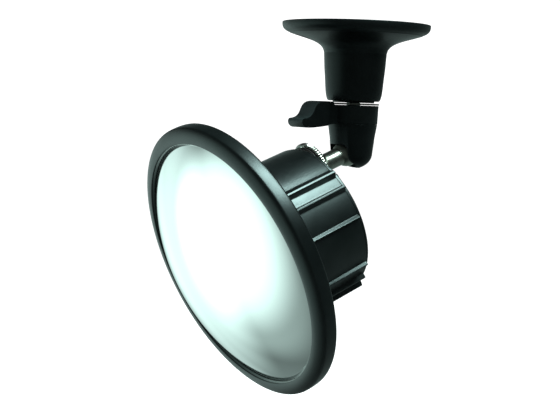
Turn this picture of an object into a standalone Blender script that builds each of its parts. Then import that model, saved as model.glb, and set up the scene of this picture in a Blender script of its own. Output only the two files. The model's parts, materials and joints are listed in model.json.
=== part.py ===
"""Convex security mirror on a ceiling bracket, as an assembly of separate pieces.

Metres, +Z up. The origin is the centre of the bracket's ceiling face, and everything hangs below it.
The mirror looks along -Y and down. Four empties hold the moving pieces: the bracket's swivel (about Z),
its clamp lever (about Z), the knuckle (about X) and the head (about the stud).
"""

from math import asin, cos, pi, radians, sin, sqrt

import bmesh
import bpy

MM = 0.001
GAP = 0.3 * MM  # play between pieces that touch
SEAM = 1e-5  # merge distance of turned and welded shapes

# Head: mirror, bezel and barrel. The head's own frame has +Z out of the mirror and +Y up it.
RING_RADIUS = 80 * MM
RING_BACK = -6.2 * MM
LIP_RADIUS = 71.2 * MM
MIRROR_RADIUS = 75 * MM
MIRROR_CURVE = 128 * MM
MIRROR_THICKNESS = 2.5 * MM
MIRROR_APEX = 23.7 * MM
DOME_RADIUS = 71.3 * MM  # where the dome turns into the mirror's flat flange
POCKET_RADIUS = MIRROR_RADIUS + 0.4 * MM
PLATE_RADIUS = 76.9 * MM
PLATE_FRONT = -3.4 * MM
PLATE_BACK = -9.5 * MM
PLATE_HOLE = 20 * MM
BARREL_RADIUS = 43.8 * MM
BARREL_BORE = 40.8 * MM
BARREL_FRONT = PLATE_BACK - GAP
BARREL_BACK = -59.2 * MM
BARREL_DRAFT = 1 * MM  # how much smaller the barrel's wall is at its back
RIBS = (  # degrees from the top where a rib starts, reaches its crest, leaves it and ends, and its height
    (41.8, 45.2, 46.2, 48.6, 2.2 * MM),
    (56.6, 57.6, 58.6, 61.0, 1.8 * MM),
    (79.8, 81.6, 81.9, 82.6, 1.0 * MM),
    (119.4, 120.5, 121.5, 123.0, 1.1 * MM),
    (132.6, 134.0, 135.0, 137.0, 1.8 * MM),
    (141.0, 143.8, 144.8, 148.0, 2.6 * MM),
)
POST_CIRCLE = 37.5 * MM
POST_RADIUS = 4 * MM
POST_ANGLES = (45, 135, 225, 315)
COVER_THICKNESS = 2 * MM
COVER_RADIUS = 42.4 * MM
BOSS_RADIUS = 10.5 * MM
BOSS_BACK = -64 * MM
BOSS_FRONT = -55 * MM
GLAND_DROP = -22 * MM
SPACER_OUT = 24 * MM  # the camera board's spacers, either side of the axis

# Stud: its frame is the head's, with the origin at the centre of the ball.
TILT_DOWN = radians(22.3)
STUD_OFFSET = 27.7 * MM  # from the barrel's axis up to the stud's
BALL_TO_RING = 91.9 * MM
BALL_RADIUS = 7.75 * MM
SHANK_RADIUS = 5.2 * MM
SHANK_END = 16.3 * MM
THREAD_RADIUS = 3.1 * MM
THREAD_END = 36.5 * MM
LOCK_DISC_RADIUS = 16 * MM
LOCK_DISC_THICKNESS = 2.7 * MM
LOCK_WASHER_RADIUS = 14 * MM
LOCK_WASHER_THICKNESS = 0.7 * MM

# Bracket: heights are below the ceiling face.
CLOSING_PLATE_RECESS = 39.4 * MM
CLOSING_PLATE_THICKNESS = 1.5 * MM
PILLAR_BOTTOM = -44.2 * MM
PILLAR_FLOOR = -40 * MM
BOLT_RADIUS = 4 * MM
BOLT_BORE = BOLT_RADIUS + 0.4 * MM
CEILING_HOLE_CIRCLE = 30 * MM
PLATE_SCREW_CIRCLE = 35.5 * MM
CEILING_HOLES = (35, 215)
PLATE_SCREWS = (5, 125, 245)
SOCKET_TOP = -46.6 * MM
COLLAR_BOTTOM = -57.2 * MM
COLLAR_RADIUS = 14.6 * MM
COLLAR_FOOT_RADIUS = 14.25 * MM
COLLAR_BORE = 12.9 * MM
NECK_RADIUS = 11.3 * MM
CAVITY_RADIUS = 8.2 * MM
SOCKET_WAIST = -74.1 * MM
SOCKET_BOTTOM = -83.3 * MM
SOCKET_SHOULDER_RADIUS = 14.2 * MM
SOCKET_WAIST_RADIUS = 12 * MM
BALL_FORWARD = 4 * MM
BALL_HEIGHT = -74 * MM
SLOT_TOP = -69 * MM
SLOT_HALF = 8.1 * MM
PIN_RADIUS = 2 * MM
PIN_REACH = 9.2 * MM
LEVER_THICKNESS = 14 * MM
LEVER_NECK = 8 * MM  # thickness of the lever between its collar and its blade
LEVER_NECK_REACH = 22.5 * MM

BLACK = (0.012, 0.014, 0.014)
FINISHES = {  # colour, roughness, metallic
    "black_plastic": (BLACK, 0.38, 0.0),
    "black_rubber": ((0.02, 0.02, 0.02), 0.8, 0.0),
    "mirror": ((0.86, 0.92, 0.88), 0.04, 1.0),
    "chrome": ((0.78, 0.76, 0.72), 0.12, 1.0),
    "steel": ((0.6, 0.6, 0.6), 0.3, 1.0),
    "black_steel": ((0.03, 0.03, 0.03), 0.35, 1.0),
    "brass": ((0.75, 0.6, 0.3), 0.3, 1.0),
    "board_green": ((0.02, 0.16, 0.06), 0.5, 0.0),
    "sensor": ((0.05, 0.05, 0.08), 0.2, 0.0),
    "glass": ((0.7, 0.75, 0.8), 0.02, 0.0),
    "nylon": ((0.75, 0.74, 0.7), 0.5, 0.0),
}


def clear_scene():
    for item in list(bpy.data.objects):
        bpy.data.objects.remove(item, do_unlink=True)


def new_collection(name):
    made = bpy.data.collections.new(name)
    bpy.context.scene.collection.children.link(made)
    return made


def finish(name):
    """A material of this piece's own."""
    colour, roughness, metallic = FINISHES[name]
    made = bpy.data.materials.new(name)
    made.use_nodes = True
    shader = made.node_tree.nodes["Principled BSDF"]
    shader.inputs["Base Color"].default_value = (*colour, 1)
    shader.inputs["Roughness"].default_value = roughness
    shader.inputs["Metallic"].default_value = metallic
    return made


def empty(name, parent=None, location=(0, 0, 0), rotation=(0, 0, 0)):
    made = bpy.data.objects.new(name, None)
    PARTS.objects.link(made)
    made.parent = parent
    made.location = location
    made.rotation_euler = rotation
    return made


def add(name, mesh, look=None, parent=None, location=(0, 0, 0), rotation=(0, 0, 0)):
    """Put a mesh in the scene: a piece where it has a look, and a cutter where it has none."""
    made = bpy.data.objects.new(name, mesh)
    (PARTS if look else CUTTERS).objects.link(made)
    made.parent = parent
    made.location = location
    made.rotation_euler = rotation
    if look:
        mesh.materials.append(finish(look))
        mesh.shade_smooth()
        mesh.set_sharp_from_angle(angle=radians(35))
    else:
        made.hide_render = True
        made.display_type = "WIRE"
    return made


def settled(source):
    """The mesh of an object with its modifiers applied, welded. The object itself is removed."""
    bpy.context.view_layer.update()
    graph = bpy.context.evaluated_depsgraph_get()
    mesh = bpy.data.meshes.new_from_object(source.evaluated_get(graph))
    shape = bmesh.new()
    shape.from_mesh(mesh)
    bmesh.ops.remove_doubles(shape, verts=shape.verts, dist=SEAM)
    shape.to_mesh(mesh)
    shape.free()
    bpy.data.objects.remove(source, do_unlink=True)
    return mesh


def turned(profile, segments=64, closed=True):
    """The mesh of a profile of (radius, height) turned about Z.

    The profile runs down its outer side. A closed one makes a ring, and an open one starts and
    ends on the axis.
    """
    count = len(profile)
    edges = [(i, (i + 1) % count) for i in range(count if closed else count - 1)]
    mesh = bpy.data.meshes.new("profile")
    mesh.from_pydata([(radius, 0, height) for radius, height in profile], edges, [])
    source = bpy.data.objects.new("profile", mesh)
    bpy.context.scene.collection.objects.link(source)
    screw = source.modifiers.new("Screw", "SCREW")
    screw.steps = screw.render_steps = segments
    screw.use_merge_vertices = True
    screw.merge_threshold = SEAM
    return settled(source)


def tube(outer, inner, top, bottom, segments=32):
    """The mesh of a plain ring."""
    return turned([(outer, top), (outer, bottom), (inner, bottom), (inner, top)], segments)


def rod(radius, top, bottom, segments=32):
    return turned([(0, top), (radius, top), (radius, bottom), (0, bottom)], segments, closed=False)


def prism(outlines, top, bottom):
    """The mesh of a flat outline between two heights. The outlines after the first are its holes."""
    curve = bpy.data.curves.new("outline", "CURVE")
    curve.dimensions = "2D"
    curve.fill_mode = "BOTH"
    curve.extrude = (top - bottom) / 2
    for outline in outlines:
        spline = curve.splines.new("POLY")
        spline.points.add(len(outline) - 1)
        spline.use_cyclic_u = True
        for point, (x, y) in zip(spline.points, outline):
            point.co = (x, y, 0, 1)
    source = bpy.data.objects.new("outline", curve)
    bpy.context.scene.collection.objects.link(source)
    mesh = settled(source)
    bpy.data.curves.remove(curve)
    return shifted(mesh, (0, 0, (top + bottom) / 2))


def shifted(mesh, offset):
    for vertex in mesh.vertices:
        vertex.co = [a + b for a, b in zip(vertex.co, offset)]
    return mesh


def joined(*meshes):
    """One mesh that holds several closed shapes, for a cutter."""
    shape = bmesh.new()
    for mesh in meshes:
        shape.from_mesh(mesh)
        bpy.data.meshes.remove(mesh)
    made = bpy.data.meshes.new("cutter")
    shape.to_mesh(made)
    shape.free()
    return made


def ball(radius, centre=(0, 0, 0), across=24, rings=12):
    shape = bmesh.new()
    bmesh.ops.create_uvsphere(shape, u_segments=across, v_segments=rings, radius=radius)
    mesh = bpy.data.meshes.new("ball")
    shape.to_mesh(mesh)
    shape.free()
    return shifted(mesh, centre)


def block(size, centre):
    shape = bmesh.new()
    bmesh.ops.create_cube(shape, size=1)
    bmesh.ops.scale(shape, verts=shape.verts, vec=size)
    mesh = bpy.data.meshes.new("block")
    shape.to_mesh(mesh)
    shape.free()
    return shifted(mesh, centre)


def circle(radius, centre=(0, 0), count=24, turn=0.0):
    """Points round a circle, or the corners of a hexagon when count is 6."""
    angles = [turn + 2 * pi * i / count for i in range(count)]
    return [(centre[0] + radius * cos(a), centre[1] + radius * sin(a)) for a in angles]


def around(radius, degrees):
    """A point of the head's frame, at an angle from its top round to +X."""
    return radius * sin(radians(degrees)), radius * cos(radians(degrees))


def bezier(start, pull_start, pull_end, end, count):
    """Points along a cubic curve, with its start left out."""
    found = []
    for i in range(1, count + 1):
        t = i / count
        weights = ((1 - t) ** 3, 3 * t * (1 - t) ** 2, 3 * t * t * (1 - t), t**3)
        corners = (start, pull_start, pull_end, end)
        found.append(tuple(sum(w * c[k] for w, c in zip(weights, corners)) for k in (0, 1)))
    return found


def in_mm(points):
    return [(x * MM, y * MM) for x, y in points]


def boolean(piece, cutter, operation="DIFFERENCE"):
    step = piece.modifiers.new(cutter.name, "BOOLEAN")
    step.operation = operation
    step.solver = "EXACT"
    step.object = cutter


def screw_mesh(head_radius, head_height, shank_radius, length):
    """A pan-head screw that points down, with the underside of its head at height 0."""
    shoulder = 0.6 * head_radius
    profile = [(0, head_height), (shoulder, head_height), (head_radius, head_height / 2)]
    profile += [(head_radius, 0), (shank_radius, 0), (shank_radius, -length), (0, -length)]
    return turned(profile, 12, closed=False)


# ---- bracket ---------------------------------------------------------------------------------------


def flange_profile():
    """The outer side of the bracket, from the ceiling face down to the foot of the pillar."""
    rim = in_mm([(42.5, 0), (42.5, -1.4)])
    edge = bezier((42.5, -1.4), (42.5, -4.2), (40.5, -5.2), (36.5, -6.6), 3)
    bell = bezier((36.5, -6.6), (27.5, -9.6), (18.8, -11.0), (18.1, -17.0), 6)
    foot = bezier((16.5, -37.2), (16.2, -40.5), (15.7, -42.5), (15.0, -43.8), 2)
    pillar = [(17.5, -25.7), (16.5, -37.2)]
    return rim + in_mm(edge + bell + pillar + foot) + [(14.4 * MM, PILLAR_BOTTOM)]


def make_bracket_base():
    """Flared flange and pillar in one moulding, with a recess on top and a bolt pocket inside."""
    outside = flange_profile()
    spigot = in_mm([(12, -44.2), (12, -45.1)]) + [(BOLT_BORE, -45.1 * MM), (BOLT_BORE, PILLAR_FLOOR)]
    inside = in_mm([(13.2, -40), (13.8, -18), (18, -11), (22, -1.8)])
    recess = CLOSING_PLATE_THICKNESS + GAP
    rest = [(CLOSING_PLATE_RECESS, -recess), (CLOSING_PLATE_RECESS, 0)]
    base = add("bracket_base", turned(outside + spigot + inside + rest, 48), "black_plastic")
    seat = in_mm([(0, 1), (2.3, 1), (2.3, -6), (4.6, -6), (4.6, -14), (0, -14)])
    cuts = []
    for turn in CEILING_HOLES:
        cuts.append(shifted(turned(seat, 20, closed=False), (*around(CEILING_HOLE_CIRCLE, turn), 0)))
    for turn in PLATE_SCREWS:
        cuts.append(shifted(rod(1.5 * MM, MM, -5 * MM, 12), (*around(PLATE_SCREW_CIRCLE, turn), 0)))
    boolean(base, add("cut_base_holes", joined(*cuts)))


def make_closing_plate():
    """The steel plate let into the flange, which closes it and lies on the ceiling."""
    outlines = [circle(CLOSING_PLATE_RECESS - GAP, count=48)]
    outlines += [circle(2.4 * MM, around(CEILING_HOLE_CIRCLE, turn), 12) for turn in CEILING_HOLES]
    outlines += [circle(2.9 * MM, around(PLATE_SCREW_CIRCLE, turn), 12) for turn in PLATE_SCREWS]
    add("closing_plate", prism(outlines, 0, -CLOSING_PLATE_THICKNESS), "steel")
    for number, turn in enumerate(PLATE_SCREWS, 1):
        mesh = screw_mesh(2.5 * MM, 1.3 * MM, 1.2 * MM, 3 * MM)
        place = (*around(PLATE_SCREW_CIRCLE, turn), -CLOSING_PLATE_THICKNESS)
        add(f"plate_screw_{number}", mesh, "steel", None, place)


def make_swivel():
    """The bolt that the socket turns on, with its washers and nut."""
    floor = PILLAR_FLOOR + GAP
    washer_top = floor + 1.6 * MM
    spring_top = washer_top + GAP + 1.8 * MM
    add("bolt_washer", tube(8 * MM, BOLT_BORE, washer_top, floor, 24), "steel")
    gap_turn = radians(14)
    ring = [(6.9, gap_turn + (2 * pi - 2 * gap_turn) * i / 20) for i in range(21)]
    ring += [(4.5, angle) for _, angle in reversed(ring)]
    spring = prism([[(r * MM * cos(a), r * MM * sin(a)) for r, a in ring]], spring_top, washer_top + GAP)
    add("spring_washer", spring, "steel")
    head_bottom = spring_top + GAP
    hexagon = prism([circle(7.4 * MM, count=6)], head_bottom + 5.3 * MM, head_bottom)
    bolt = add("centre_bolt", hexagon, "steel")
    shank = rod(BOLT_RADIUS, head_bottom + 1 * MM, -55.6 * MM, 24)
    boolean(bolt, add("join_bolt_shank", shank), "UNION")
    add("swivel_washer", tube(14.8 * MM, BOLT_BORE, -45.4 * MM, SOCKET_TOP + GAP, 40), "chrome")
    nut_top = -50.8 * MM
    outlines = [circle(7.3 * MM, count=6), circle(BOLT_RADIUS + GAP, count=24)]
    add("pivot_nut", prism(outlines, nut_top, nut_top - 4.2 * MM), "steel")


# ---- socket, lever and plunger ---------------------------------------------------------------------


def slot_outline():
    """The slot seen from the front, with round top corners, as (x, height)."""
    corner = 3 * MM
    top = [(SLOT_HALF - corner + corner * sin(a), SLOT_TOP - corner + corner * cos(a))
           for a in (radians(90 - 15 * i) for i in range(7))]
    low = SOCKET_BOTTOM - 5 * MM
    return [(SLOT_HALF, low)] + top + [(-x, z) for x, z in reversed(top)] + [(-SLOT_HALF, low)]


def make_socket():
    """Tapered cup with a domed foot, open at the front and below for the knuckle to swing."""
    dome_height = SOCKET_WAIST - SOCKET_BOTTOM
    dome = [(SOCKET_WAIST_RADIUS * cos(a), SOCKET_WAIST - dome_height * sin(a))
            for a in (radians(15 * i) for i in range(7))]
    shoulder = COLLAR_BOTTOM - GAP
    web = SOCKET_TOP - 3.9 * MM
    outside = [(NECK_RADIUS, SOCKET_TOP), (NECK_RADIUS, shoulder), (SOCKET_SHOULDER_RADIUS, shoulder)]
    outside += [(13.0 * MM, -65 * MM)] + dome[:-1]
    floor = -66.6 * MM
    inside = [(0, SOCKET_BOTTOM), (0, floor), (CAVITY_RADIUS, floor), (CAVITY_RADIUS, web)]
    bore = [(BOLT_BORE, web), (BOLT_BORE, SOCKET_TOP)]
    profile = outside + inside + bore
    socket = add("socket_shell", turned(profile, 40), "black_plastic", SWIVEL)
    slot = prism([slot_outline()], 20 * MM, BALL_FORWARD)
    boolean(socket, add("cut_slot", slot, None, SWIVEL, rotation=(radians(90), 0, 0)))
    below = rod(SLOT_HALF - 0.1 * MM, BALL_HEIGHT, SOCKET_BOTTOM - 5 * MM, 40)
    half_step = (0, 0, radians(4.5))
    boolean(socket, add("cut_knuckle_well", below, None, SWIVEL, (0, -BALL_FORWARD, 0), half_step))
    hollow = ball(BALL_RADIUS + 0.45 * MM, (0, -BALL_FORWARD, BALL_HEIGHT))
    boolean(socket, add("cut_ball_hollow", hollow, None, SWIVEL))
    pin_hole = rod(PIN_RADIUS + GAP, PIN_REACH + GAP, -PIN_REACH - GAP, 20)
    place = (0, -BALL_FORWARD, BALL_HEIGHT)
    boolean(socket, add("cut_pin_hole", pin_hole, None, SWIVEL, place, (0, radians(90), 0)))
    pin = rod(PIN_RADIUS, PIN_REACH, -PIN_REACH, 20)
    add("knuckle_pin", pin, "black_steel", SWIVEL, place, (0, radians(90), 0))
    plunger = rod(CAVITY_RADIUS - GAP, -56.2 * MM, BALL_HEIGHT + BALL_RADIUS + GAP, 32)
    add("clamp_plunger", plunger, "nylon", SWIVEL)


def lever_outline():
    """The lever from the side, as (distance from the swivel, height): an S down to a turned-up lip."""
    back = [(13.6, -46.9), (16.4, -46.9), (16.6, -44.8), (25.5, -44.7)]
    crest = bezier((25.5, -44.7), (30.5, -44.9), (31.6, -47.6), (32.6, -50.0), 5)
    sweep = bezier((32.6, -50.0), (33.7, -53.2), (35.8, -54.4), (39.6, -54.7), 5)
    lip = bezier((39.6, -54.7), (41.2, -54.9), (41.2, -59.0), (37.6, -59.8), 4)
    belly = bezier((37.6, -59.8), (31.5, -60.0), (24.0, -58.6), (17.5, -57.6), 4)
    return in_mm(back + crest + sweep + lip + belly + [(13.6, -56.9)])


def make_lever():
    """The lever, its tapered collar round the socket's neck, and the brass ring inside the collar."""
    collar = [(COLLAR_RADIUS, SOCKET_TOP), (COLLAR_FOOT_RADIUS, COLLAR_BOTTOM)]
    collar += [(COLLAR_BORE, COLLAR_BOTTOM), (COLLAR_BORE, SOCKET_TOP)]
    lever = add("clamp_lever", turned(collar, 40), "black_plastic", LEVER)
    blade = prism([lever_outline()], LEVER_THICKNESS / 2, -LEVER_THICKNESS / 2)
    turned_down = (radians(90), 0, radians(-90))
    join = add("join_lever_blade", blade, None, LEVER, rotation=turned_down)
    margin = 2 * MM
    width = (LEVER_THICKNESS - LEVER_NECK) / 2 + margin
    sides = []
    for side in (-1, 1):
        middle = side * (LEVER_NECK + width) / 2
        sides.append(block((width, LEVER_NECK_REACH, 30 * MM), (middle, -LEVER_NECK_REACH / 2, -50 * MM)))
    boolean(join, add("cut_lever_neck", joined(*sides), None, LEVER))
    boolean(lever, join, "UNION")
    insert = tube(COLLAR_BORE - GAP, NECK_RADIUS + GAP, -48 * MM, -56 * MM, 32)
    add("lever_insert", insert, "brass", LEVER)


# ---- stud ------------------------------------------------------------------------------------------


def make_stud():
    """Ball, thick shank and thin thread, turned in one piece, with a cross hole for the pin."""
    meets = asin(SHANK_RADIUS / BALL_RADIUS)
    steps = 7
    round_side = [(BALL_RADIUS * sin(a), BALL_RADIUS * cos(a))
                  for a in (meets + (pi - meets) * i / steps for i in range(steps))]
    taper = 1 * MM
    profile = [(0, THREAD_END), (THREAD_RADIUS - 0.5 * MM, THREAD_END)]
    profile += [(THREAD_RADIUS, THREAD_END - 0.7 * MM), (THREAD_RADIUS, SHANK_END + taper)]
    profile += [(SHANK_RADIUS - 0.6 * MM, SHANK_END + taper), (SHANK_RADIUS, SHANK_END)]
    profile += round_side + [(0, -BALL_RADIUS)]
    stud = add("ball_stud", turned(profile, 24, closed=False), "chrome", KNUCKLE)
    cross = rod(PIN_RADIUS + GAP, 20 * MM, -20 * MM, 20)
    boolean(stud, add("cut_cross_hole", cross, None, KNUCKLE, rotation=(0, radians(90), 0)))


def make_lock_disc():
    """The knurled lock nut and the washer that it bears on."""
    boss = BALL_TO_RING + BOSS_BACK
    washer = boss - GAP
    disc = washer - LOCK_WASHER_THICKNESS - GAP
    bore = THREAD_RADIUS + GAP
    mesh = tube(LOCK_WASHER_RADIUS, bore, washer, washer - LOCK_WASHER_THICKNESS, 32)
    add("lock_washer", mesh, "black_rubber", HEAD)
    low = disc - LOCK_DISC_THICKNESS
    edge = 0.4 * MM
    profile = [(LOCK_DISC_RADIUS - edge, disc), (LOCK_DISC_RADIUS, disc - edge)]
    profile += [(LOCK_DISC_RADIUS, low + edge), (LOCK_DISC_RADIUS - edge, low), (bore, low), (bore, disc)]
    add("lock_disc", turned(profile, 48), "chrome", HEAD)


# ---- head ------------------------------------------------------------------------------------------


def sphere_height(radius, curve):
    """Height of the mirror's dome at a distance from its axis."""
    return MIRROR_APEX - MIRROR_CURVE + sqrt(curve**2 - radius**2)


def on_head(name, mesh, look, location=(0, 0, 0)):
    x, y, z = location
    return add(name, mesh, look, HEAD, (x, y - STUD_OFFSET, z + BALL_TO_RING))


def make_mirror():
    """The domed mirror with its flat flange, and the gasket that presses it to the bezel's lip."""
    steps = 8
    back_curve = MIRROR_CURVE - MIRROR_THICKNESS
    flange_front = sphere_height(DOME_RADIUS, MIRROR_CURVE)
    flange_back = flange_front - MIRROR_THICKNESS
    heel = sqrt(back_curve**2 - (flange_back + MIRROR_CURVE - MIRROR_APEX) ** 2)
    front = [(DOME_RADIUS * i / steps, MIRROR_CURVE) for i in range(steps + 1)]
    back = [(heel * i / steps, back_curve) for i in range(steps, -1, -1)]
    edge = [(MIRROR_RADIUS, flange_front), (MIRROR_RADIUS, flange_back)]
    profile = [(r, sphere_height(r, curve)) for r, curve in front]
    profile += edge + [(r, sphere_height(r, curve)) for r, curve in back]
    on_head("mirror_dome", turned(profile, 60, closed=False), "mirror")
    gasket = tube(MIRROR_RADIUS, DOME_RADIUS, flange_back - GAP, PLATE_FRONT + GAP, 60)
    on_head("mirror_gasket", gasket, "black_rubber")


def make_bezel():
    """The ring round the mirror: a lip, a sloping face, a deep side and a back pocket."""
    lip = sphere_height(LIP_RADIUS, MIRROR_CURVE) + GAP
    face = bezier((72.3, 5.2), (74.0, 5.1), (77.6, 3.6), (79.3, 1.9), 4)
    side = in_mm([(71.4, 4.7), (72.3, 5.2)] + face + [(79.9, 0.8), (80, -1.0), (79.8, -4.4)])
    rear = [(79.4 * MM, RING_BACK), (PLATE_RADIUS + GAP, RING_BACK)]
    step = [(PLATE_RADIUS + GAP, PLATE_FRONT + GAP), (POCKET_RADIUS, PLATE_FRONT + GAP)]
    mesh = turned([(LIP_RADIUS, lip)] + side + rear + step + [(POCKET_RADIUS, lip)], 60)
    on_head("bezel_ring", mesh, "black_plastic")


def make_back_plate():
    """The dished plate that closes the bezel from behind and carries the barrel and the camera."""
    waist = 46 * MM
    rim = -6 * MM
    inner_front = PLATE_BACK + 3 * MM
    profile = [(PLATE_RADIUS, PLATE_FRONT), (PLATE_RADIUS, rim), (waist, PLATE_BACK)]
    profile += [(PLATE_HOLE, PLATE_BACK), (PLATE_HOLE, inner_front), (waist, inner_front)]
    profile += [(66 * MM, PLATE_FRONT)]
    plate = on_head("back_plate", turned(profile, 60), "black_plastic")
    holes = [shifted(rod(1.7 * MM, 0, -20 * MM, 12), (*around(POST_CIRCLE, a), 0)) for a in POST_ANGLES]
    holes += [shifted(rod(1.5 * MM, 0, -20 * MM, 12), (side * SPACER_OUT, 0, 0)) for side in (-1, 1)]
    boolean(plate, on_head("cut_plate_holes", joined(*holes), None))


def barrel_outside():
    """The barrel's outline with its ribs. The ribs at the right side are repeated on the left."""
    right = [around(BARREL_RADIUS, 0)]
    angle = 6
    for start, crest_start, crest_end, end, height in RIBS:
        while angle < start - 1:
            right.append(around(BARREL_RADIUS, angle))
            angle += 6
        right += [around(BARREL_RADIUS, start), around(BARREL_RADIUS + height, crest_start)]
        right += [around(BARREL_RADIUS + height, crest_end), around(BARREL_RADIUS, end)]
        angle = end + 6
    while angle < 175:
        right.append(around(BARREL_RADIUS, angle))
        angle += 6
    return right + [around(BARREL_RADIUS, 180)] + [(-x, y) for x, y in reversed(right[1:])]


def barrel_inside():
    """The barrel's bore, with four screw posts standing in from its wall."""
    half = asin(POST_RADIUS / POST_CIRCLE)
    points = []
    for quarter in POST_ANGLES:
        for i in range(9):
            off = half * (i / 4 - 1) * 0.999
            near = POST_CIRCLE * cos(off) - sqrt(max(POST_RADIUS**2 - (POST_CIRCLE * sin(off)) ** 2, 0))
            points.append(around(near, quarter + off * 180 / pi))
        for i in range(1, 12):
            span = 90 - 2 * half * 180 / pi
            points.append(around(BARREL_BORE, quarter + half * 180 / pi + span * i / 12))
    return points


def make_barrel():
    outlines = [barrel_outside(), barrel_inside()]
    outlines += [circle(1.6 * MM, around(POST_CIRCLE, a), 12) for a in POST_ANGLES]
    mesh = prism(outlines, BARREL_FRONT, BARREL_BACK)
    for vertex in mesh.vertices:
        radius = vertex.co.xy.length
        if vertex.co.z < BARREL_BACK + SEAM and BARREL_RADIUS - SEAM < radius < BARREL_RADIUS + SEAM:
            vertex.co.xy *= (BARREL_RADIUS - BARREL_DRAFT) / radius
    on_head("barrel_housing", mesh, "black_plastic")
    for number, angle in enumerate(POST_ANGLES, 1):
        x, y = around(POST_CIRCLE, angle)
        mesh = screw_mesh(2.8 * MM, 1.9 * MM, 1.25 * MM, 12 * MM)
        on_head(f"barrel_screw_{number}", mesh, "steel", (x, y, PLATE_BACK + 3 * MM + GAP))


def make_rear_cover():
    """The round cover behind the barrel, with a boss for the stud and a hole for the cable gland."""
    front = BARREL_BACK - GAP
    back = front - COVER_THICKNESS
    edge = 1 * MM
    profile = [(0, front), (COVER_RADIUS, front), (COVER_RADIUS, back + edge)]
    profile += [(COVER_RADIUS - 0.3 * edge, back + 0.3 * edge), (COVER_RADIUS - edge, back), (0, back)]
    cover = on_head("rear_cover", turned(profile, 48, closed=False), "black_plastic")
    boss = on_head("join_stud_boss", rod(BOSS_RADIUS, BOSS_FRONT, BOSS_BACK, 24), None, (0, STUD_OFFSET, 0))
    boolean(cover, boss, "UNION")
    holes = [shifted(rod(6.8 * MM, BOSS_FRONT + MM, BOSS_BACK - MM, 24), (0, STUD_OFFSET, 0))]
    for angle in POST_ANGLES:
        holes.append(shifted(rod(1.6 * MM, front + MM, back - MM, 12), (*around(POST_CIRCLE, angle), 0)))
    holes += [shifted(rod(6.3 * MM, front + MM, back - MM, 24), (0, GLAND_DROP, 0))]
    boolean(cover, on_head("cut_cover_holes", joined(*holes), None))
    for number, angle in enumerate(POST_ANGLES, 1):
        mesh = screw_mesh(2.8 * MM, 1.9 * MM, 1.25 * MM, 12 * MM)
        screw = on_head(f"cover_screw_{number}", mesh, "steel", (*around(POST_CIRCLE, angle), back - GAP))
        screw.rotation_euler = (pi, 0, 0)
    bush = tube(6.5 * MM, THREAD_RADIUS + GAP, BOSS_FRONT, BOSS_BACK, 24)
    on_head("stud_insert", bush, "brass", (0, STUD_OFFSET, 0))


def make_gland():
    """The cable gland low on the rear cover, and its nut inside. The hole runs right through it."""
    back = BARREL_BACK - GAP - COVER_THICKNESS - GAP
    thread = [(6 * MM, back + 9 * MM), (6 * MM, back), (8 * MM, back), (8 * MM, back - 3 * MM)]
    nose = [(6.4 * MM, back - 3.6 * MM), (5.6 * MM, back - 8.5 * MM), (4.2 * MM, back - 10 * MM)]
    bore = [(2.6 * MM, back - 10 * MM), (2.6 * MM, back + 9 * MM)]
    on_head("cable_gland", turned(thread + nose + bore, 20), "black_plastic", (0, GLAND_DROP, 0))
    nut_back = BARREL_BACK + GAP
    outlines = [circle(8.2 * MM, count=6), circle(6 * MM + GAP, count=24)]
    nut = prism(outlines, nut_back + 3.5 * MM, nut_back)
    on_head("gland_nut", nut, "black_plastic", (0, GLAND_DROP, 0))


def make_camera():
    """The small board camera behind the mirror, on two spacers from the back plate."""
    spacer_front = PLATE_BACK - GAP
    board_front = spacer_front - 20 * MM
    board_back = board_front - 1.6 * MM
    outline = [(-28 * MM, -15 * MM), (28 * MM, -15 * MM), (28 * MM, 15 * MM), (-28 * MM, 15 * MM)]
    holes = [circle(1.5 * MM, (side * SPACER_OUT, 0), 12) for side in (-1, 1)]
    on_head("camera_board", prism([outline] + holes, board_front, board_back), "board_green")
    for number, side in enumerate((-1, 1), 1):
        spacer = tube(2.8 * MM, 1.5 * MM, spacer_front, board_front + GAP, 16)
        on_head(f"board_spacer_{number}", spacer, "brass", (side * SPACER_OUT, 0, 0))
        mesh = screw_mesh(2.4 * MM, 1.6 * MM, 1.15 * MM, 25 * MM)
        screw = on_head(f"board_screw_{number}", mesh, "steel", (side * SPACER_OUT, 0, board_back - GAP))
        screw.rotation_euler = (pi, 0, 0)
    base = board_front + GAP
    on_head("image_sensor", block((8 * MM, 8 * MM, 1.2 * MM), (0, 0, base + 0.6 * MM)), "sensor")
    half = 9 * MM
    square = [(-half, -half), (half, -half), (half, half), (-half, half)]
    holder = prism([square, circle(6.3 * MM, count=24)], base + 11 * MM, base)
    on_head("lens_holder", holder, "black_plastic")
    nose = -4.5 * MM
    tail = base + 3 * MM
    bore = 4.6 * MM
    throat = bore - 1.2 * MM
    profile = [(8 * MM, nose), (8 * MM, nose - 8 * MM), (6 * MM, nose - 8 * MM), (6 * MM, tail)]
    profile += [(throat, tail), (throat, nose - 4 * MM), (bore, nose - 4 * MM), (bore, nose)]
    on_head("lens_barrel", turned(profile, 20), "black_plastic")
    glass = [(0, nose - 0.4 * MM), (2.3 * MM, nose - 0.8 * MM), (bore - GAP, nose - 1.8 * MM)]
    glass += [(bore - GAP, nose - 3.5 * MM), (0, nose - 3.5 * MM)]
    on_head("front_lens", turned(glass, 20, closed=False), "glass")


clear_scene()
PARTS = new_collection("convex_security_mirror")
CUTTERS = new_collection("cutters")
SWIVEL = empty("swivel_axis")
LEVER = empty("lever_axis", SWIVEL)
KNUCKLE = empty("knuckle_axis", SWIVEL, (0, -BALL_FORWARD, BALL_HEIGHT), (radians(90) + TILT_DOWN, 0, 0))
HEAD = empty("head_axis", KNUCKLE)

make_bracket_base()
make_closing_plate()
make_swivel()
make_socket()
make_lever()
make_stud()
make_lock_disc()
make_mirror()
make_bezel()
make_back_plate()
make_barrel()
make_rear_cover()
make_gland()
make_camera()
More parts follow.
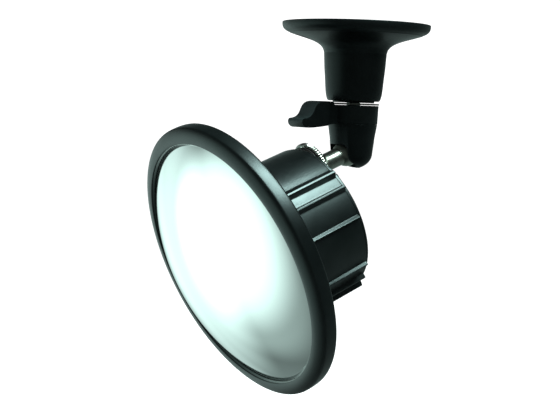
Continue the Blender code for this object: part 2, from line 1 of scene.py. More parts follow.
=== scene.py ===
import json
from math import asin, cos, pi, radians, sin, sqrt

import bmesh
import bpy
from mathutils import Matrix, Vector


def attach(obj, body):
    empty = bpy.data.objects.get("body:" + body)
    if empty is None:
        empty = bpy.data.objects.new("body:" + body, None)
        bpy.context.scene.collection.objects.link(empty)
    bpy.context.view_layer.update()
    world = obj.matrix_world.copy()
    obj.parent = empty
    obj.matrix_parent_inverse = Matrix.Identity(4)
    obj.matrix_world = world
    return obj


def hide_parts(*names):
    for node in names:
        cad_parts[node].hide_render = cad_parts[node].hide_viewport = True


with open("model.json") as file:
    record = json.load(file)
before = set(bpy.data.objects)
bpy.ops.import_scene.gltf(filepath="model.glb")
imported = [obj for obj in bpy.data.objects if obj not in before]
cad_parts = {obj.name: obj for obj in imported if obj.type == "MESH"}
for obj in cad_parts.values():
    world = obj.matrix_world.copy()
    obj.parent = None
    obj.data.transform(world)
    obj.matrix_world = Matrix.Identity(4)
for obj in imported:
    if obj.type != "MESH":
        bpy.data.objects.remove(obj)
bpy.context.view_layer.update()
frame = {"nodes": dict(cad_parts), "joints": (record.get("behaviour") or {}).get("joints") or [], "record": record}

MM = 0.001
NODES = frame["nodes"]

# ---- places, read from the frame ---------------------------------------------------------------------

JOINTS = {joint["name"]: joint for joint in frame["joints"]}
BALL = Vector(JOINTS["tilt"]["pos_m"])
AHEAD = Vector(JOINTS["head_turn"]["axis"]).normalized()  # the way the mirror looks
RIGHT = Vector((1, 0, 0))
UP = AHEAD.cross(RIGHT).normalized()
STUD_OFFSET = 27.7 * MM
BALL_TO_RING = 91.9 * MM


def place(origin, right, up, ahead):
    """The matrix that puts a shape's X, Y and Z along three directions, from an origin."""
    turn = Matrix((right, up, ahead)).transposed().to_4x4()
    return Matrix.Translation(origin) @ turn


STUD = place(BALL, RIGHT, UP, AHEAD)
HEAD = STUD @ Matrix.Translation((0, -STUD_OFFSET, BALL_TO_RING))
UPRIGHT = Matrix.Identity(4)

# ---- camera ------------------------------------------------------------------------------------------

CAMERA_PLACE = Vector((576.4, -445.3, -43.7)) * MM
CAMERA_BACK = Vector((0.8206, -0.5647, 0.0889)).normalized()
CAMERA_RIGHT = Vector((0.5640, 0.8251, 0.0348))
FOCAL_LENGTH = 80.87
SENSOR_WIDTH = 36


def make_camera():
    camera = bpy.data.objects.new("camera", bpy.data.cameras.new("camera"))
    bpy.context.scene.collection.objects.link(camera)
    camera.data.lens = FOCAL_LENGTH
    camera.data.sensor_width = SENSOR_WIDTH
    camera.data.clip_start = 0.01
    camera.data.clip_end = 50
    up = CAMERA_BACK.cross(CAMERA_RIGHT).normalized()
    right = up.cross(CAMERA_BACK)
    camera.matrix_world = place(CAMERA_PLACE, right, up, CAMERA_BACK)
    bpy.context.scene.camera = camera


# ---- materials ---------------------------------------------------------------------------------------


class Look:
    """A node material under construction: a Principled BSDF and short calls that add nodes to it."""

    def __init__(self, name, colour, roughness, metallic=0.0, **sockets):
        self.material = bpy.data.materials.new(name)
        self.material.use_nodes = True
        self.tree = self.material.node_tree
        self.shader = self.tree.nodes["Principled BSDF"]
        self.set("Base Color", (*colour, 1))
        self.set("Roughness", roughness)
        self.set("Metallic", metallic)
        for socket, value in sockets.items():
            self.set(socket.replace("_", " "), value)
        self.coords = self.tree.nodes.new("ShaderNodeTexCoord").outputs["Object"]
        self.height = None

    def set(self, socket, value):
        self.shader.inputs[socket].default_value = value

    def link(self, source, target):
        self.tree.links.new(source, target)

    def noise(self, scale, detail=3.0, roughness=0.5, stretch=None):
        node = self.tree.nodes.new("ShaderNodeTexNoise")
        node.inputs["Scale"].default_value = scale
        node.inputs["Detail"].default_value = detail
        node.inputs["Roughness"].default_value = roughness
        source = self.coords
        if stretch:
            mapping = self.tree.nodes.new("ShaderNodeMapping")
            mapping.inputs["Scale"].default_value = stretch
            self.link(source, mapping.inputs["Vector"])
            source = mapping.outputs["Vector"]
        self.link(source, node.inputs["Vector"])
        return node.outputs["Fac"]

    def ramp(self, value, low, high, start, end):
        """Map a value between two limits to a value between two others."""
        node = self.tree.nodes.new("ShaderNodeMapRange")
        node.inputs["From Min"].default_value = low
        node.inputs["From Max"].default_value = high
        node.inputs["To Min"].default_value = start
        node.inputs["To Max"].default_value = end
        self.link(value, node.inputs["Value"])
        return node.outputs["Result"]

    def blend(self, value, first, second):
        """A colour between two colours."""
        node = self.tree.nodes.new("ShaderNodeMix")
        node.data_type = "RGBA"
        colours = [socket for socket in node.inputs if socket.type == "RGBA"]
        for socket, colour in zip(colours, (first, second)):
            if isinstance(colour, tuple):
                socket.default_value = (*colour, 1)
            else:
                self.link(colour, socket)
        self.link(value, node.inputs[0])
        return [socket for socket in node.outputs if socket.type == "RGBA"][0]

    def edges(self):
        """1 along the piece's outer edges and 0 elsewhere."""
        node = self.tree.nodes.new("ShaderNodeNewGeometry")
        return self.ramp(node.outputs["Pointiness"], 0.52, 0.60, 0, 1)

    def facing(self, direction, reach):
        """1 where a face is turned along a direction and lies beyond a reach toward -Y, and 0 elsewhere."""
        node = self.tree.nodes.new("ShaderNodeVectorMath")
        node.operation = "DOT_PRODUCT"
        node.inputs[1].default_value = Vector(direction).normalized()
        self.link(self.tree.nodes.new("ShaderNodeTexCoord").outputs["Normal"], node.inputs[0])
        split = self.tree.nodes.new("ShaderNodeSeparateXYZ")
        self.link(self.coords, split.inputs[0])
        both = self.tree.nodes.new("ShaderNodeMath")
        both.operation = "MULTIPLY"
        self.link(self.ramp(node.outputs["Value"], 0.25, 0.9, 0, 1), both.inputs[0])
        self.link(self.ramp(split.outputs["Y"], -reach, -reach - 2 * MM, 0, 1), both.inputs[1])
        return both.outputs[0]

    def colour(self, value):
        self.link(value, self.shader.inputs["Base Color"])

    def rough(self, value):
        self.link(value, self.shader.inputs["Roughness"])

    def bump(self, value, depth, strength=1.0):
        node = self.tree.nodes.new("ShaderNodeBump")
        node.inputs["Strength"].default_value = strength
        node.inputs["Distance"].default_value = depth
        self.link(value, node.inputs["Height"])
        if self.height:
            self.link(self.height, node.inputs["Normal"])
        self.height = node.outputs["Normal"]
        self.link(self.height, self.shader.inputs["Normal"])


def moulded_black(name, roughness, shine=0.42, grain=0.00004, painted_sheen_facing=None):
    """Black moulded plastic: a fine grain, soft flow marks, faint dust and slightly polished edges.

    Faces turned along the given direction are painted a little greyer: a painted sheen where they would catch the
    light.
    """
    look = Look(name, (0.0015, 0.0022, 0.0022), roughness, Specular_IOR_Level=shine,
                Specular_Tint=(0.82, 1.0, 0.98, 1))
    flow = look.noise(35, 4, 0.55)
    dust = look.noise(420, 5, 0.7)
    tone = look.blend(look.ramp(flow, 0.35, 0.7, 0, 1), (0.0010, 0.0017, 0.0017),
                      (0.0020, 0.0032, 0.0032))
    specks = look.blend(look.ramp(dust, 0.70, 0.82, 0, 0.25), tone, (0.02, 0.024, 0.023))
    colour = look.blend(look.edges(), specks, (0.004, 0.006, 0.006))
    # painted sheen: faces turned along the given direction get a lighter grey colour that stands in for the light
    # they catch
    if painted_sheen_facing:
        colour = look.blend(look.facing(painted_sheen_facing, 20 * MM), colour, (0.013, 0.021, 0.021))
    look.colour(colour)
    look.rough(look.ramp(flow, 0.3, 0.75, roughness - 0.04, roughness + 0.06))
    look.bump(look.noise(2600, 2, 0.6), grain)
    look.bump(look.noise(90, 2, 0.5), grain * 2, 0.4)
    return look.material


def rubber(name):
    look = Look(name, (0.012, 0.012, 0.012), 0.75)
    grain = look.noise(900, 4, 0.7)
    look.colour(look.blend(look.ramp(grain, 0.4, 0.7, 0, 1), (0.008, 0.008, 0.008), (0.022, 0.022, 0.021)))
    look.rough(look.ramp(grain, 0.3, 0.7, 0.66, 0.85))
    look.bump(grain, 0.00006)
    return look.material


def mirror_glass(name):
    """Silvered acrylic: a faint green tint, with a few wide wipe marks."""
    look = Look(name, (0.97, 1.0, 0.98), 0.05, 1.0)
    smear = look.noise(14, 5, 0.6, (1, 1, 3))
    look.colour(look.blend(look.ramp(smear, 0.35, 0.7, 0, 1), (0.96, 0.99, 0.97), (0.98, 1.0, 0.99)))
    look.rough(look.ramp(smear, 0.35, 0.75, 0.05, 0.10))
    look.bump(look.noise(7, 2, 0.4), 0.00005, 0.3)
    return look.material


def metal(name, colour, roughness):
    """Plated or turned metal: fine tool marks and slight stains."""
    look = Look(name, colour, roughness, 1.0)
    marks = look.noise(1500, 2, 0.5)
    stain = look.noise(120, 4, 0.6)
    darker = tuple(part * 0.72 for part in colour)
    look.colour(look.blend(look.ramp(stain, 0.42, 0.72, 0, 1), colour, darker))
    look.rough(look.ramp(stain, 0.3, 0.8, max(roughness - 0.05, 0.03), roughness + 0.12))
    look.bump(marks, 0.00002, 0.6)
    return look.material


def circuit_board(name):
    look = Look(name, (0.01, 0.11, 0.04), 0.4, 0.0, IOR=1.5)
    tracks = look.tree.nodes.new("ShaderNodeTexVoronoi")
    tracks.distance = "CHEBYCHEV"
    tracks.inputs["Scale"].default_value = 420
    look.link(look.coords, tracks.inputs["Vector"])
    pads = look.ramp(tracks.outputs["Distance"], 0.30, 0.34, 0, 1)
    look.colour(look.blend(pads, (0.015, 0.15, 0.055), (0.008, 0.09, 0.035)))
    look.bump(tracks.outputs["Distance"], 0.00005)
    return look.material


def clear_glass(name):
    look = Look(name, (0.75, 0.8, 0.95), 0.02, 0.0, IOR=1.5, Transmission_Weight=0.9)
    look.rough(look.ramp(look.noise(300, 3), 0.3, 0.8, 0.01, 0.05))
    return look.material


def silicon(name):
    look = Look(name, (0.03, 0.03, 0.05), 0.15, 0.3)
    grid = look.tree.nodes.new("ShaderNodeTexChecker")
    grid.inputs["Scale"].default_value = 2500
    grid.inputs["Color1"].default_value = (0.02, 0.025, 0.05, 1)
    grid.inputs["Color2"].default_value = (0.04, 0.03, 0.06, 1)
    look.link(look.coords, grid.inputs["Vector"])
    look.colour(grid.outputs["Color"])
    return look.material


def nylon(name):
    look = Look(name, (0.7, 0.69, 0.64), 0.5, 0.0, IOR=1.5)
    cloud = look.noise(200, 4)
    look.colour(look.blend(cloud, (0.74, 0.73, 0.68), (0.62, 0.61, 0.56)))
    look.bump(cloud, 0.00004)
    return look.material


def stage_paper(name, colour):
    look = Look(name, colour, 0.9)
    look.colour(look.blend(look.noise(3, 2), colour, tuple(part * 0.99 for part in colour)))
    return look.material


LOOKS = {
    "black_plastic": moulded_black("black_plastic", 0.34),
    "bezel_plastic": moulded_black("bezel_plastic", 0.32, shine=0.27, grain=0.00002),
    "bracket_plastic": moulded_black("bracket_plastic", 0.36, shine=0.13),
    # the lever's thumb face gets a painted sheen on faces turned up and toward -Y
    "lever_plastic": moulded_black("lever_plastic", 0.4, shine=0.16, painted_sheen_facing=(0, -0.62, 0.78)),
    "black_rubber": rubber("black_rubber"),
    "mirror": mirror_glass("mirror"),
    "chrome": metal("chrome", (0.74, 0.76, 0.70), 0.20),
    "satin": metal("satin", (0.40, 0.43, 0.37), 0.30),
    "dull": metal("dull", (0.17, 0.18, 0.155), 0.34),
    "steel": metal("steel", (0.56, 0.56, 0.55), 0.26),
    "black_steel": metal("black_steel", (0.02, 0.02, 0.021), 0.35),
    "brass": metal("brass", (0.68, 0.52, 0.24), 0.24),
    "nylon": nylon("nylon"),
    "board_green": circuit_board("board_green"),
    "sensor": silicon("sensor"),
    "glass": clear_glass("glass"),
}

# ---- shapes ------------------------------------------------------------------------------------------


def softened(corners, closed=True, steps=5):
    """An outline whose corners are rounded. Each corner is (x, y, radius of its rounding)."""
    points = []
    count = len(corners)
    for i, (x, y, radius) in enumerate(corners):
        here = Vector((x, y))
        at_end = not closed and i in (0, count - 1)
        if radius <= 0 or at_end:
            points.append((x, y))
            continue
        before = Vector(corners[i - 1][:2]) - here
        after = Vector(corners[(i + 1) % count][:2]) - here
        angle = before.angle(after)
        reach = min(radius / max(abs(sin(angle / 2)), 1e-6) * abs(cos(angle / 2)),
                    before.length * 0.48, after.length * 0.48)
        first = here + before.normalized() * reach
        last = here + after.normalized() * reach
        for step in range(steps + 1):
            t = step / steps
            point = first * (1 - t) ** 2 + here * 2 * t * (1 - t) + last * t * t
            points.append((point.x, point.y))
    return points


def bezier(start, pull_start, pull_end, end, count):
    """Points along a cubic curve, with its start left out."""
    found = []
    for i in range(1, count + 1):
        t = i / count
        weights = ((1 - t) ** 3, 3 * t * (1 - t) ** 2, 3 * t * t * (1 - t), t**3)
        corners = (start, pull_start, pull_end, end)
        found.append(tuple(sum(w * c[k] for w, c in zip(weights, corners)) for k in (0, 1)))
    return found


def in_mm(points):
    return [tuple(value * MM for value in point) for point in points]


def lathe(profile, segments=128, closed=True, wave=None):
    """A bmesh of a (radius, height) profile turned about Z. A wave shifts a point's radius by angle."""
    shape = bmesh.new()
    columns = []
    for j in range(segments):
        angle = 2 * pi * j / segments
        column = []
        for k, (radius, height) in enumerate(profile):
            if radius < 1e-9 and j:
                column.append(columns[0][k])
                continue
            reach = radius + (wave(k, j) if wave else 0)
            column.append(shape.verts.new((reach * cos(angle), reach * sin(angle), height)))
        columns.append(column)
    count = len(profile)
    for j in range(segments):
        here, there = columns[j], columns[(j + 1) % segments]
        for k in range(count if closed else count - 1):
            after = (k + 1) % count
            corners = [here[k], here[after], there[after], there[k]]
            unique = [corner for i, corner in enumerate(corners) if corner not in corners[:i]]
            if len(unique) > 2:
                shape.faces.new(unique)
    bmesh.ops.recalc_face_normals(shape, faces=shape.faces)
    return shape


def extruded(outline, low, high):
    """A bmesh of a flat outline between two heights."""
    curve = bpy.data.curves.new("outline", "CURVE")
    curve.dimensions = "2D"
    curve.fill_mode = "BOTH"
    curve.extrude = (high - low) / 2
    spline = curve.splines.new("POLY")
    spline.points.add(len(outline) - 1)
    spline.use_cyclic_u = True
    for point, (x, y) in zip(spline.points, outline):
        point.co = (x, y, 0, 1)
    holder = bpy.data.objects.new("outline", curve)
    bpy.context.scene.collection.objects.link(holder)
    bpy.context.view_layer.update()
    graph = bpy.context.evaluated_depsgraph_get()
    mesh = bpy.data.meshes.new_from_object(holder.evaluated_get(graph))
    shape = bmesh.new()
    shape.from_mesh(mesh)
    bmesh.ops.remove_doubles(shape, verts=shape.verts, dist=1e-6)
    bmesh.ops.translate(shape, verts=shape.verts, vec=(0, 0, (low + high) / 2))
    bmesh.ops.recalc_face_normals(shape, faces=shape.faces)
    bpy.data.objects.remove(holder, do_unlink=True)
    bpy.data.curves.remove(curve)
    bpy.data.meshes.remove(mesh)
    return shape


def polar(radius, degrees):
    """A point at an angle from +Y round to +X."""
    return radius * sin(radians(degrees)), radius * cos(radians(degrees))


def piece(name, shape, matrix, body, slot, stands_for, sharp=40, look=None):
    """Turn a bmesh into a finished piece that rides on a body and stands for CAD nodes.

    It takes its slot's look unless it names another.
    """
    mesh = bpy.data.meshes.new(name)
    shape.to_mesh(mesh)
    shape.free()
    mesh.transform(matrix)
    mesh.shade_smooth()
    mesh.set_sharp_from_angle(angle=radians(sharp))
    mesh.materials.append(LOOKS[look or slot])
    made = bpy.data.objects.new(name, mesh)
    bpy.context.scene.collection.objects.link(made)
    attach(made, body)
    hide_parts(*stands_for)
    return made


def applied(made):
    """Bake an object's modifiers into its mesh."""
    bpy.context.view_layer.update()
    graph = bpy.context.evaluated_depsgraph_get()
    mesh = bpy.data.meshes.new_from_object(made.evaluated_get(graph))
    made.modifiers.clear()
    made.data = mesh
    mesh.shade_smooth()
    mesh.set_sharp_from_angle(angle=radians(40))


def bevelled(made, width, segments, angle):
    """Round an object's edges that are sharper than an angle."""
    step = made.modifiers.new("edges", "BEVEL")
    step.width = width
    step.segments = segments
    step.limit_method = "ANGLE"
    step.angle_limit = radians(angle)
    step.use_clamp_overlap = True
    applied(made)


def cut(made, shapes, matrix=UPRIGHT, operation="DIFFERENCE"):
    """Cut shapes out of an object, or join them to it."""
    for shape in shapes:
        mesh = bpy.data.meshes.new("cutter")
        shape.to_mesh(mesh)
        shape.free()
        mesh.transform(matrix)
        cutter = bpy.data.objects.new("cutter", mesh)
        bpy.context.scene.collection.objects.link(cutter)
        step = made.modifiers.new("cut", "BOOLEAN")
        step.operation = operation
        step.object = cutter
        applied(made)
        bpy.data.objects.remove(cutter, do_unlink=True)


def peg(radius, low, high, segments, spot, turn=0):
    """A round cutter between two heights, standing at a point (x, y)."""
    shape = lathe([(0, high), (radius, high), (radius, low), (0, low)], segments, closed=False)
    if turn:
        bmesh.ops.rotate(shape, verts=shape.verts, matrix=Matrix.Rotation(radians(turn), 3, "Z"))
    bmesh.ops.translate(shape, verts=shape.verts, vec=(*spot, 0))
    return shape


# ---- head --------------------------------------------------------------------------------------------

SCREW_POSTS = (45, 135, 225, 315)  # degrees from the top
POST_CIRCLE = 37.5  # millimetres from the head's axis to each post
PLATE_BACK = -6.2 * MM
COVER_BACK = -61.8 * MM
GLAND_OFFSET = -22 * MM

MIRROR_APEX = 23.7 * MM
MIRROR_CURVE = 128 * MM
DOME_RADIUS = 71.3 * MM
MIRROR_RADIUS = 75 * MM
MIRROR_THICKNESS = 2.5 * MM


def dome_height(radius, curve=MIRROR_CURVE):
    """How far ahead of the head's origin a dome with this curve stands, at a radius from the axis."""
    return MIRROR_APEX - MIRROR_CURVE + sqrt(curve**2 - radius**2)


def make_mirror():
    """The domed mirror, drawn from one sheet with its flat flange."""
    curve = MIRROR_CURVE - MIRROR_THICKNESS
    flange = dome_height(DOME_RADIUS)
    under = flange - MIRROR_THICKNESS
    heel = sqrt(curve**2 - (under + MIRROR_CURVE - MIRROR_APEX) ** 2)
    steps = 60
    front = [(DOME_RADIUS * i / steps, dome_height(DOME_RADIUS * i / steps)) for i in range(steps + 1)]
    edge = softened([(DOME_RADIUS, flange, 0), (MIRROR_RADIUS, flange, 0.3 * MM),
                     (MIRROR_RADIUS, under, 0.3 * MM), (heel, under, 0)], closed=False)
    back = [(heel * i / 12, dome_height(heel * i / 12, curve)) for i in range(11, -1, -1)]
    piece("mirror_face", lathe(front + edge[1:] + back, 256, closed=False), HEAD, "head", "mirror",
          ["mirror_dome"])


def make_bezel():
    """Rounded lip over the mirror, a sloping face, a deep rounded side and a pocket behind."""
    lip = dome_height(71.2 * MM) / MM + 0.3
    crest = bezier((71.3, 3.7), (71.3, 4.2), (71.6, 4.5), (72.1, 4.55), 6)
    face = bezier((72.1, 4.55), (74.3, 4.75), (77.4, 3.7), (79.1, 2.25), 10)
    shoulder = bezier((79.1, 2.25), (79.5, 1.9), (79.85, 1.5), (79.9, 0.9), 5)
    side = bezier((79.9, 0.9), (80.05, -1.0), (80.0, -3.4), (79.75, -5.0), 8)
    heel = bezier((79.75, -5.0), (79.6, -5.9), (79.2, -6.15), (78.4, -6.2), 5)
    rear = [(77.2, -6.2), (77.2, -3.1), (75.4, -3.1), (75.4, lip)]
    profile = [(71.2, lip), (71.3, 3.7)] + crest + face + shoulder + side + heel + rear
    piece("bezel", lathe(in_mm(profile), 256), HEAD, "head", "bezel_plastic", ["bezel_ring"])


def make_back_plate():
    """The dished plate behind the bezel, with a fine groove near its rim and holes for its screws."""
    corners = [(76.9, -3.4, 0), (76.9, -5.9, 0.5), (74.6, -6.25, 0.3), (74.2, -5.9, 0.3), (72.6, -6.1, 0.3),
               (72.2, -6.75, 0.3), (49.2, -9.45, 1.2), (46, -9.5, 0.5), (20, -9.5, 0.4), (20, -6.5, 0.4),
               (46, -6.5, 1), (66, -3.4, 1)]
    plate = piece("back_shell", lathe(softened(in_mm(corners), steps=4), 192), HEAD, "head", "black_plastic",
                  ["back_plate"])
    holes = [peg(1.7 * MM, -20 * MM, 0, 24, polar(POST_CIRCLE * MM, angle)) for angle in SCREW_POSTS]
    holes += [peg(1.5 * MM, -20 * MM, 0, 24, (side * 24 * MM, 0)) for side in (-1, 1)]
    cut(plate, holes, HEAD)


BARREL_RADIUS = 43.8  # these four are in millimetres
BARREL_FRONT = -9.8
BARREL_BACK = -59.2
BARREL_DRAFT = 1.0
RIBS = (  # degrees from the top where a rib starts, reaches its crest, leaves it and ends, and its height
    (40.6, 44.8, 46.2, 48.6, 2.2),
    (55.6, 57.2, 58.6, 61.0, 1.8),
    (79.8, 81.6, 81.9, 82.6, 1.0),
    (119.4, 120.5, 121.5, 123.0, 1.1),
    (132.6, 134.0, 135.0, 137.0, 1.8),
    (141.0, 143.8, 144.8, 148.0, 2.6),
)


def flank(first, last):
    """Two points on a rib's flank, as (radius, degrees, rounding), which keep its shading flat."""
    return [tuple(a + (b - a) * share for a, b in zip(first, last)) + (0,) for share in (0.2, 0.8)]


def barrel_outline(wall, inset):
    """The barrel's outline in millimetres, with its ribs, where its wall has this radius."""
    right = []
    angle = 0.0
    for start, crest_start, crest_end, end, height in RIBS:
        while angle < start - 0.8:
            right.append((wall - inset, angle, 0))
            angle += 2
        crest = BARREL_RADIUS + height - inset
        right += [(wall - inset, start, 0.25)] + flank((wall - inset, start), (crest, crest_start))
        right += [(crest, crest_start, 0.35), (crest, crest_end, 0.35)]
        right += flank((crest, crest_end), (wall - inset, end)) + [(wall - inset, end, 0.25)]
        angle = end + 1.2
    while angle < 179:
        right.append((wall - inset, angle, 0))
        angle += 2
    left = [(radius, 360 - angle, rounding) for radius, angle, rounding in reversed(right[1:])]
    corners = [(*polar(radius, angle), rounding)
               for radius, angle, rounding in right + [(wall - inset, 180, 0)] + left]
    return softened(corners, steps=4)


def barrel_inside():
    """The bore, with four posts that stand in from the wall."""
    bore, post_radius = 40.8, 4
    half = 6.12  # degrees that a post takes up, to each side of its middle
    points = []
    for quarter in SCREW_POSTS:
        for i in range(13):
            off = half * (i / 6 - 1) * 0.999
            reach = sqrt(max(post_radius**2 - (POST_CIRCLE * sin(radians(off))) ** 2, 0))
            points.append(polar((POST_CIRCLE * cos(radians(off)) - reach) * MM, quarter + off))
        for i in range(1, 30):
            points.append(polar(bore * MM, quarter + half + (90 - 2 * half) * i / 30))
    return points


def ring_of(radius, centre, count=24):
    """Points round a circle."""
    return [(centre[0] + radius * cos(2 * pi * i / count), centre[1] + radius * sin(2 * pi * i / count))
            for i in range(count)]


def lofted(rows):
    """A bmesh through outlines of equal length, each with its height, closed by a face at each end."""
    shape = bmesh.new()
    rings = [[shape.verts.new((x, y, height)) for x, y in outline] for height, outline in rows]
    count = len(rings[0])
    for here, there in zip(rings, rings[1:]):
        for i in range(count):
            after = (i + 1) % count
            shape.faces.new((here[i], here[after], there[after], there[i]))
    shape.faces.new(rings[0])
    shape.faces.new(rings[-1])
    bmesh.ops.recalc_face_normals(shape, faces=shape.faces)
    return shape


def make_barrel():
    """The ribbed barrel: a drafted wall, rounded at both ends, with a bore and four screw posts."""
    rows = []
    edge = 0.35
    arc = [radians(22.5 * i) for i in range(5)]
    levels = [(BARREL_FRONT - edge * (1 - cos(a)), edge * (1 - sin(a))) for a in arc]
    levels += [(BARREL_BACK + edge * (1 - sin(a)), edge * (1 - cos(a))) for a in arc]
    for height, inset in levels:
        wall = BARREL_RADIUS - BARREL_DRAFT * (BARREL_FRONT - height) / (BARREL_FRONT - BARREL_BACK)
        rows.append((height * MM, in_mm(barrel_outline(wall, inset))))
    barrel = piece("barrel", lofted(rows), HEAD, "head", "black_plastic", ["barrel_housing"], 30)
    holes = [ring_of(1.6 * MM, polar(POST_CIRCLE * MM, angle)) for angle in SCREW_POSTS]
    cutters = [extruded(outline, -70 * MM, 0) for outline in [barrel_inside()] + holes]
    cut(barrel, cutters, HEAD)


def make_rear_cover():
    """The cover behind the barrel: rounded edge, shallow groove, boss for the stud and four screw seats."""
    corners = [(0, -59.5, 0), (42.4, -59.5, 0.2), (42.4, -61.5, 1.1), (39.6, -61.5, 0.25),
               (39.6, -61.1, 0.25), (38.8, -61.1, 0.25), (38.8, -61.5, 0.25), (0, -61.5, 0)]
    cover = piece("cover", lathe(softened(in_mm(corners), closed=False), 160, closed=False), HEAD, "head",
                  "black_plastic", ["rear_cover"])
    corners = [(0, -55, 0), (10.5, -55, 0.4), (10.5, -64, 0.6), (0, -64, 0)]
    boss = lathe(softened(in_mm(corners), closed=False), 64, closed=False)
    bmesh.ops.rotate(boss, verts=boss.verts, matrix=Matrix.Rotation(radians(1.3), 3, "Z"))
    bmesh.ops.translate(boss, verts=boss.verts, vec=(0, STUD_OFFSET, 0))
    cut(cover, [boss], HEAD, "UNION")
    openings = [(1.6 * MM, polar(POST_CIRCLE * MM, angle)) for angle in SCREW_POSTS]
    openings += [(6.8 * MM, (0, STUD_OFFSET)), (6.3 * MM, (0, GLAND_OFFSET))]
    cut(cover, [peg(radius, -70 * MM, -50 * MM, 40, spot, 3.1) for radius, spot in openings], HEAD)


def make_gland():
    """Cable gland: threaded neck, hexagonal flange and a fluted dome nut, with a hole right through."""
    back = COVER_BACK / MM
    body = [(2.6, back + 9), (5.6, back + 9), (6.0, back + 8.6)]
    for i in range(7):
        top = back + 8.2 - 1.1 * i
        body += [(6.0, top), (5.55, top - 0.55)]
    body += [(6.0, back), (8.0, back), (8.0, back - 3.0), (6.6, back - 3.2), (2.6, back - 3.2)]
    place_at = HEAD @ Matrix.Translation((0, GLAND_OFFSET, 0))

    def facets(k, j):
        radius = body[k][0]
        if radius < 7:
            return 0
        turn = (j / 96 * 360) % 60 - 30
        return min(0, 8.0 * cos(radians(30)) / cos(radians(turn)) - radius) * MM

    gland = piece("gland", lathe(in_mm(body), 96, wave=facets), place_at, "head", "black_plastic",
                  ["cable_gland"])
    nut = [(7.2, back - 3.0, 0.2), (7.2, back - 6.4, 0.8), (5.9, back - 8.8, 0.8), (4.2, back - 10, 0.4),
           (2.6, back - 10, 0.2), (2.6, back - 3.0, 0.1)]
    profile = softened(in_mm(nut), steps=6)

    def flutes(k, j):
        share = max(0, min(1, (profile[k][0] - 5.6 * MM) / (1.4 * MM)))
        return -0.45 * MM * share * max(0, cos(2 * pi * j * 12 / 144)) ** 2

    cap = lathe(profile, 144, wave=flutes)
    cut(gland, [cap], place_at, "UNION")


def cross_screw(name, node, head_radius, head_height, shank_radius, length, matrix, body):
    """A pan-head screw with a cross recess. Its head stands on height 0 and its shank goes down."""
    corners = [(0, head_height, 0), (head_radius * 0.72, head_height * 0.92, 0.3 * MM),
               (head_radius, head_height * 0.35, 0.4 * MM), (head_radius, 0, 0.1 * MM), (shank_radius, 0, 0)]
    pitch = 0.5 * MM
    turns = int((length - 0.5 * MM) / pitch)
    thread = []
    for i in range(turns):
        top = -0.2 * MM - pitch * i
        thread += [(shank_radius, top), (shank_radius * 0.82, top - pitch / 2)]
    profile = softened(corners, closed=False, steps=4) + thread
    profile += [(shank_radius * 0.8, -length + 0.1 * MM), (shank_radius * 0.5, -length), (0, -length)]
    made = piece(name, lathe(profile, 32, closed=False), matrix, body, "steel", [node])
    slots = []
    for turn in (0, 90):
        slot = bmesh.new()
        bmesh.ops.create_cube(slot, size=1)
        bmesh.ops.scale(slot, verts=slot.verts, vec=(head_radius * 1.15, head_radius * 0.26, head_height))
        bmesh.ops.rotate(slot, verts=slot.verts, matrix=Matrix.Rotation(radians(turn), 3, "Z"))
        bmesh.ops.translate(slot, verts=slot.verts, vec=(0, 0, head_height * 0.9))
        slots.append(slot)
    cut(made, slots, matrix)


def make_head_screws():
    """Four screws in the back plate and four in the cover, each turned to an angle of its own."""
    flip = Matrix.Rotation(pi, 4, "X")
    for number, angle in enumerate(SCREW_POSTS, 1):
        x, y = polar(POST_CIRCLE * MM, angle)
        turn = Matrix.Rotation(radians(23 * number), 4, "Z")
        front = HEAD @ Matrix.Translation((x, y, PLATE_BACK)) @ turn
        back = HEAD @ Matrix.Translation((x, y, COVER_BACK)) @ flip @ turn
        for name, node, spot in (("front_screw", "barrel_screw", front), ("rear_screw", "cover_screw", back)):
            cross_screw(f"{name}_{number}", f"{node}_{number}", 2.8 * MM, 1.9 * MM, 1.25 * MM, 12 * MM, spot,
                        "head")


# ---- stud, lock disc and washer -----------------------------------------------------------------------

SHANK_RADIUS = 5.2  # these three are in millimetres
BALL_RADIUS = 7.75
THREAD_RADIUS = 3.1
THREAD_PITCH = 1.27 * MM
PIN_HOLE_RADIUS = 2.3 * MM


def make_stud():
    """Ball, thick shank and a real helical thread, as one turned and plated piece."""
    start = 16.3
    meets = asin(SHANK_RADIUS / BALL_RADIUS)
    round_side = [(BALL_RADIUS * sin(a), BALL_RADIUS * cos(a))
                  for a in (meets + (pi - meets) * i / 20 for i in range(20))]
    neck = [(4.6, start + 0.6, 0.2), (SHANK_RADIUS, start, 0.4), (SHANK_RADIUS, 9.2, 0), (*round_side[0], 0)]
    thread_low, thread_high, rows = start + 1.2, 36.3, 160
    thread = [(THREAD_RADIUS, thread_high - (thread_high - thread_low) * i / rows) for i in range(rows + 1)]
    top = [(0, 36.5), (2.5, 36.5)]
    profile = top + thread + [(2.75, start + 1.0), (2.8, start + 0.75)] + \
        softened(neck, closed=False) + round_side[1:] + [(0, -BALL_RADIUS)]
    first, last = len(top), len(top) + rows
    heights = [height * MM for _, height in profile]

    def helix(k, j):
        if not first <= k <= last:
            return 0
        along = heights[k] / THREAD_PITCH - j / 96
        tooth = abs((along % 1) * 2 - 1)
        fade = min((k - first) / 8, (last - k) / 8, 1)
        return -0.5 * MM * (1 - tooth) * max(fade, 0)

    stud = piece("stud", lathe(in_mm(profile), 96, closed=False, wave=helix), STUD, "stud", "chrome",
                 ["ball_stud"], look="satin")
    across = STUD @ Matrix.Rotation(radians(90), 4, "Y")
    cut(stud, [peg(PIN_HOLE_RADIUS, -12 * MM, 12 * MM, 40, (0, 0))], across)


